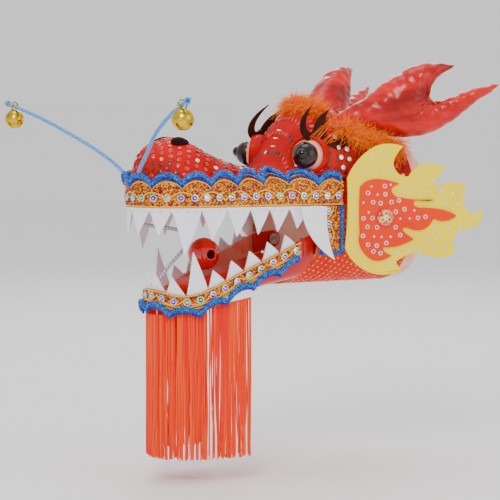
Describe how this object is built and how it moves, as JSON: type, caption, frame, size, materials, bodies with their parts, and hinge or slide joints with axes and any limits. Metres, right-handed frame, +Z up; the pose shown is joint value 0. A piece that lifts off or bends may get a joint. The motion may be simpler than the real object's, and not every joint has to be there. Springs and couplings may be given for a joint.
{
  "type": "dragon kite head",
  "caption": "Dragon kite head: cloth-covered plastic shell with a hinged toothed jaw, stuffed horns, foam flame ears, springy whiskers with bells and a hanging fringe.",
  "frame": {"origin": "centre of the rear face of the hub, in the plane of the collar", "axes": "+Z up, -X the way the nose points, -Y the dragon's left side"},
  "size_m": [0.4045, 0.4028, 0.3898],
  "materials": {
    "plastic_shell": "translucent, faintly pink",
    "sequin_cloth": "thin net with small sequins",
    "cheek_cloth": "thin sheer cloth",
    "bamboo": "plain split bamboo",
    "steel": "satin",
    "gold_lace": "metallic braid with small stones",
    "blue_braid": "metallic braid",
    "white_foam": "smooth sheet foam",
    "fur": "long plush strands",
    "silver_cord": "braided cord",
    "brown_felt": "felt",
    "eye_white": "pearly plastic",
    "eye_black": "polished",
    "eyelid_cloth": "cloth over foam",
    "red_satin": "glossy satin",
    "yellow_foam": "sheet foam",
    "orange_foam": "sheet foam with small sequins",
    "button": "moulded",
    "jaw_plastic": "smooth",
    "tongue_foam": "soft foam",
    "pearl_plastic": "smooth",
    "fringe_yarn": "shiny rayon strands",
    "brass": "polished"
  },
  "bodies": {
    "head": {"upper_shell": "plastic_shell", "upper_cover": "sequin_cloth", "cheek_shell": "plastic_shell", "cheek_cover": "cheek_cloth", "collar_hoop": "bamboo", "spar_upright": "bamboo", "spar_cross": "bamboo", "hub": "steel", "upper_band": "gold_lace", "upper_braid": "blue_braid", "upper_teeth": "white_foam", "forehead_fur": "fur", "jaw_cord": "silver_cord", "cheek_trim_left": "gold_lace", "cheek_trim_right": "gold_lace", "rear_fang_left": "white_foam", "rear_fang_right": "white_foam", "nostril_left": "brown_felt", "nostril_right": "brown_felt", "eyeball_left": "eye_white", "eyeball_right": "eye_white", "iris_left": "eye_black", "iris_right": "eye_black", "pupil_left": "eye_black", "pupil_right": "eye_black", "eyelid_left": "eyelid_cloth", "eyelid_right": "eyelid_cloth", "horn_left": "red_satin", "horn_right": "red_satin", "brow_left": "brown_felt", "brow_right": "brown_felt", "horn_fur_left": "fur", "horn_fur_right": "fur", "flame_outer_left": "yellow_foam", "flame_outer_right": "yellow_foam", "flame_inner_left": "orange_foam", "flame_inner_right": "orange_foam", "flower_button_left": "button", "flower_button_right": "button", "hinge_pin_left": "steel", "hinge_pin_right": "steel"},
    "jaw": {"jaw_shell": "jaw_plastic", "lower_band": "gold_lace", "lower_braid": "blue_braid", "lower_teeth": "white_foam", "tongue": "tongue_foam", "pearl_ball": "pearl_plastic"},
    "fringe_side_left_panel": {"fringe_side_left": "fringe_yarn"},
    "fringe_corner_left_panel": {"fringe_corner_left": "fringe_yarn"},
    "fringe_front_panel": {"fringe_front": "fringe_yarn"},
    "fringe_corner_right_panel": {"fringe_corner_right": "fringe_yarn"},
    "fringe_side_right_panel": {"fringe_side_right": "fringe_yarn"},
    "whisker_stem_left": {"whisker_left": "blue_braid"},
    "bell_body_left": {"bell_left": "brass"},
    "pellet_left": {"bell_pellet_left": "steel"},
    "whisker_stem_right": {"whisker_right": "blue_braid"},
    "bell_body_right": {"bell_right": "brass"},
    "pellet_right": {"bell_pellet_right": "steel"}
  },
  "joints": [
    {"name": "jaw_hinge", "type": "hinge", "parent": "head", "child": "jaw", "pos_m": [-0.112, 0, -0.03], "axis": [0, 1, 0], "range_deg": [0, 18], "deforming": ["jaw_cord"]},
    {"name": "fringe_side_left_swing", "type": "hinge", "parent": "jaw", "child": "fringe_side_left_panel", "pos_m": [-0.212, 0, -0.0835], "axis": [0, 1, 0], "range_deg": [-40, 40]},
    {"name": "fringe_corner_left_swing", "type": "hinge", "parent": "jaw", "child": "fringe_corner_left_panel", "pos_m": [-0.252, 0, -0.0908], "axis": [0, 1, 0], "range_deg": [-40, 40]},
    {"name": "fringe_front_swing", "type": "hinge", "parent": "jaw", "child": "fringe_front_panel", "pos_m": [-0.268, 0, -0.0938], "axis": [0, 1, 0], "range_deg": [-40, 40]},
    {"name": "fringe_corner_right_swing", "type": "hinge", "parent": "jaw", "child": "fringe_corner_right_panel", "pos_m": [-0.252, 0, -0.0908], "axis": [0, 1, 0], "range_deg": [-40, 40]},
    {"name": "fringe_side_right_swing", "type": "hinge", "parent": "jaw", "child": "fringe_side_right_panel", "pos_m": [-0.212, 0, -0.0835], "axis": [0, 1, 0], "range_deg": [-40, 40]},
    {"name": "whisker_flex_left", "type": "hinge", "parent": "head", "child": "whisker_stem_left", "pos_m": [-0.298, -0.015, 0.042], "axis": [0.9685, -0.2492, 0], "range_deg": [-12, 12], "stiffness_Nm_per_rad": 0.5, "springref_deg": -1.89},
    {"name": "bell_swing_left", "type": "hinge", "parent": "whisker_stem_left", "child": "bell_body_left", "pos_m": [-0.34, -0.186, 0.107], "axis": [-0.192, -0.9814, 0], "range_deg": [-45, 45]},
    {"name": "pellet_rattle_left", "type": "slide", "parent": "bell_body_left", "child": "pellet_left", "axis": [0, 0, 1], "range_m": [0, 0.008]},
    {"name": "whisker_flex_right", "type": "hinge", "parent": "head", "child": "whisker_stem_right", "pos_m": [-0.298, 0.015, 0.042], "axis": [-0.9685, 0.2492, 0], "range_deg": [-12, 12], "stiffness_Nm_per_rad": 0.5, "springref_deg": -1.89},
    {"name": "bell_swing_right", "type": "hinge", "parent": "whisker_stem_right", "child": "bell_body_right", "pos_m": [-0.34, 0.186, 0.107], "axis": [-0.192, 0.9814, 0], "range_deg": [-45, 45]},
    {"name": "pellet_rattle_right", "type": "slide", "parent": "bell_body_right", "child": "pellet_right", "axis": [0, 0, 1], "range_m": [0, 0.008]}
  ],
  "couplings": [
    {"joint": "fringe_side_left_swing", "follows": "jaw_hinge", "ratio": -1},
    {"joint": "fringe_corner_left_swing", "follows": "jaw_hinge", "ratio": -1},
    {"joint": "fringe_front_swing", "follows": "jaw_hinge", "ratio": -1},
    {"joint": "fringe_corner_right_swing", "follows": "jaw_hinge", "ratio": -1},
    {"joint": "fringe_side_right_swing", "follows": "jaw_hinge", "ratio": -1}
  ]
}
